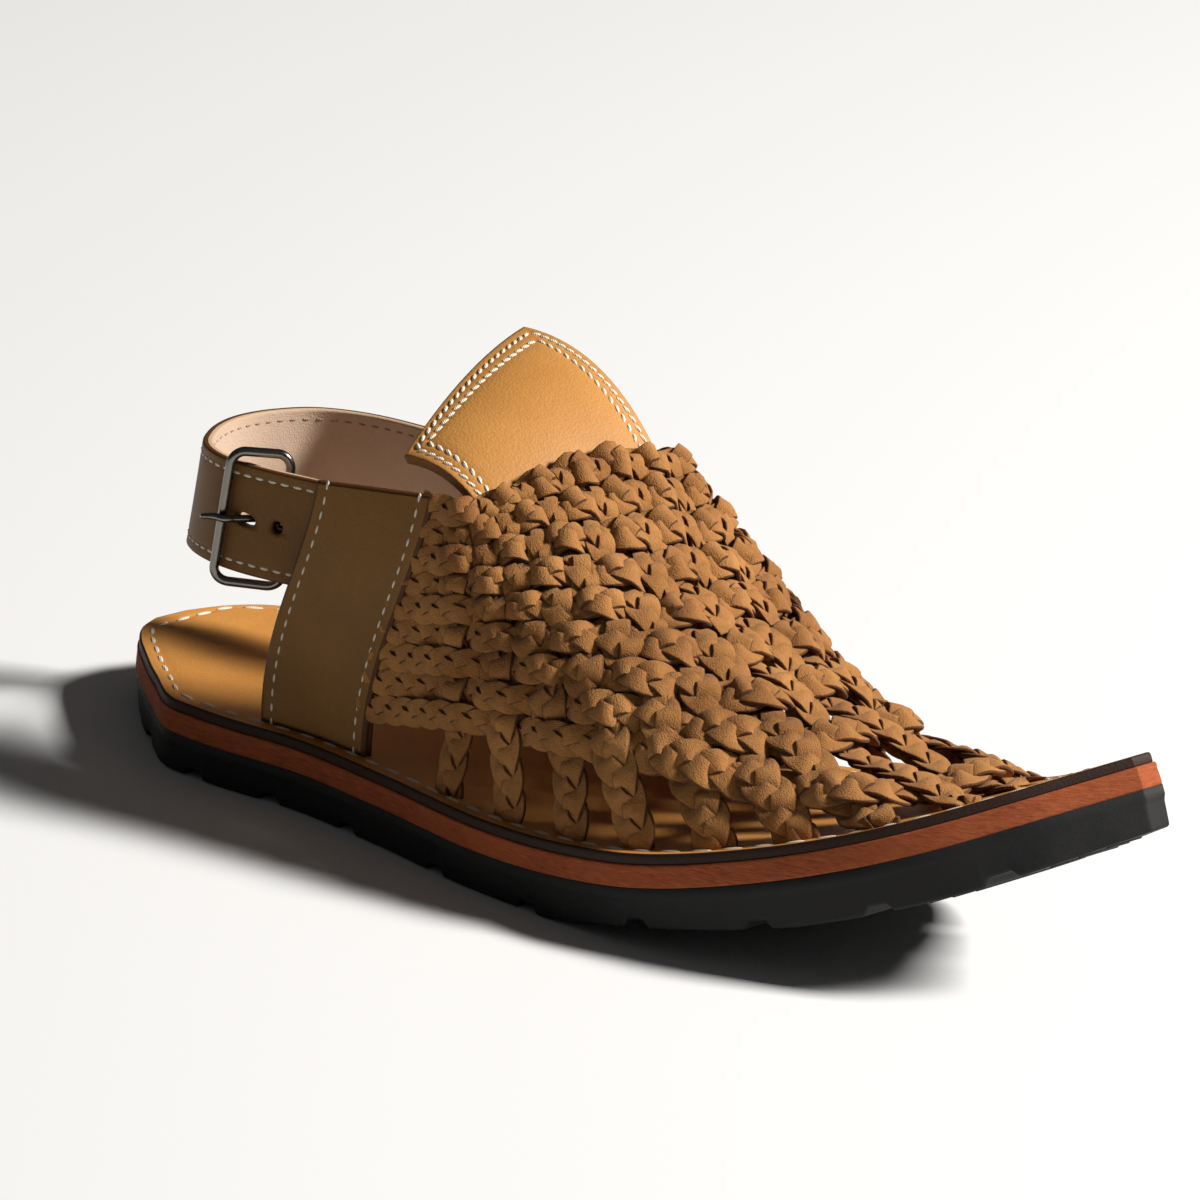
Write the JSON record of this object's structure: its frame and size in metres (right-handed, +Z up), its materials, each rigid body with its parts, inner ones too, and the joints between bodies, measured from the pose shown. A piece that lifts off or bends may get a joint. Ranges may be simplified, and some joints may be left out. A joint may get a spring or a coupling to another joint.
{
  "type": "woven leather sandal",
  "caption": "Right-foot sandal with a braided leather closed toe, a smooth instep plate, side panels, a buckled heel strap and a lugged sole with an upturned pointed toe.",
  "frame": {"origin": "under the middle of the overall size, on the floor the sole stands on", "axes": "+X to the toe, +Y to the wearer's left, which is the medial side of this right shoe, +Z up"},
  "size_m": [0.2962, 0.1032, 0.1084],
  "materials": {
    "outsole_rubber": "matte",
    "midsole_fibre": "matte",
    "insole_leather": "satin",
    "braid_nubuck": "matte",
    "plate_leather": "satin",
    "panel_leather": "satin",
    "strap_leather": "satin",
    "tab_leather": "satin",
    "buckle_metal": "polished",
    "prong_metal": "polished"
  },
  "bodies": {
    "root": {"outsole": "outsole_rubber", "midsole": "midsole_fibre", "insole": "insole_leather", "woven_vamp": "braid_nubuck", "instep_plate": "plate_leather", "lateral_panel": "panel_leather", "medial_panel": "panel_leather", "heel_strap": "strap_leather", "buckle_tab": "tab_leather", "buckle_frame": "buckle_metal", "buckle_prong": "prong_metal"}
  },
  "joints": []
}
